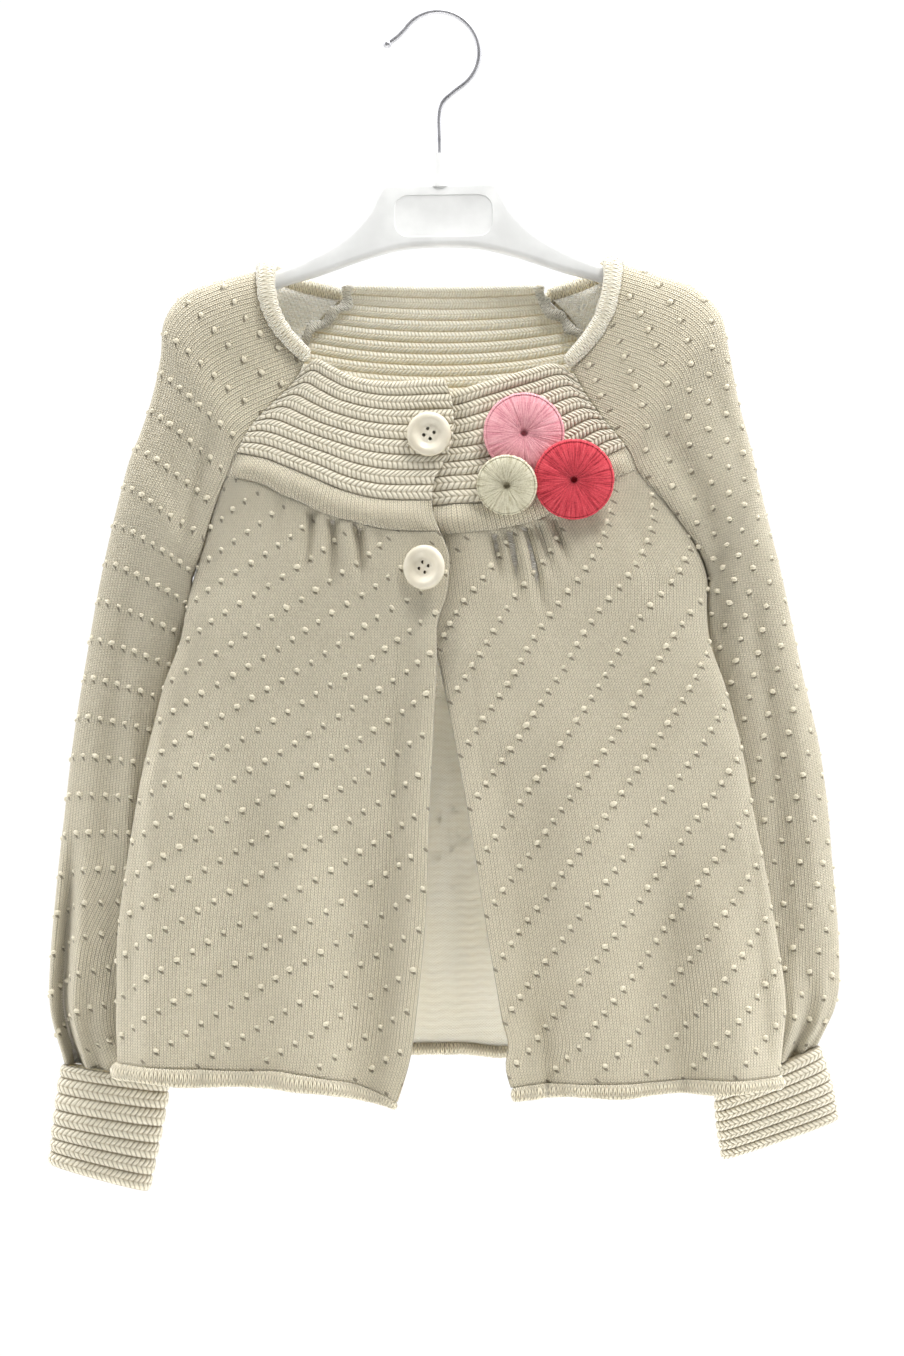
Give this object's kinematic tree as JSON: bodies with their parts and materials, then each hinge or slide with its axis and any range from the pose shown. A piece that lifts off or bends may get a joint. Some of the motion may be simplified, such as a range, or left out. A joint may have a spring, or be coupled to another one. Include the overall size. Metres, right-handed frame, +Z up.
{
  "type": "baby cardigan on a hanger",
  "caption": "Cream hand-knit style baby cardigan with ribbed yoke, wound yarn discs and buttons, hung open at the front on a white plastic hanger.",
  "frame": {"origin": "inner top of the hanger's hook, where the rail touches the wire", "axes": "+Z up along the hanger's stem, -Y towards the front of the cardigan, +X to the wearer's left"},
  "size_m": [0.3996, 0.0825, 0.5933],
  "materials": {
    "knit": "plain cotton knit with small raised dots",
    "rib": "knitted welts",
    "button": "satin",
    "pink": "wound yarn",
    "coral": "wound yarn",
    "cream": "wound yarn",
    "hanger_plastic": "moulded, satin",
    "hook_wire": "plated steel wire"
  },
  "bodies": {
    "root": {"hanger": "hanger_plastic", "hook": "hook_wire", "yoke_front_right": "rib", "yoke_front_left": "rib", "yoke_back": "rib", "band_front_right": "knit", "band_front_left": "knit", "band_back": "knit", "front_right": "knit", "front_left": "knit", "back": "knit", "sleeve_right": "knit", "sleeve_left": "knit", "cuff_right": "rib", "cuff_left": "rib", "neck_roll_right": "knit", "neck_roll_left": "knit", "hem_front_right": "knit", "hem_front_left": "knit", "hem_back": "knit", "button_top": "button", "button_lower": "button", "disc_pink": "pink", "disc_coral": "coral", "disc_cream": "cream"}
  },
  "joints": []
}
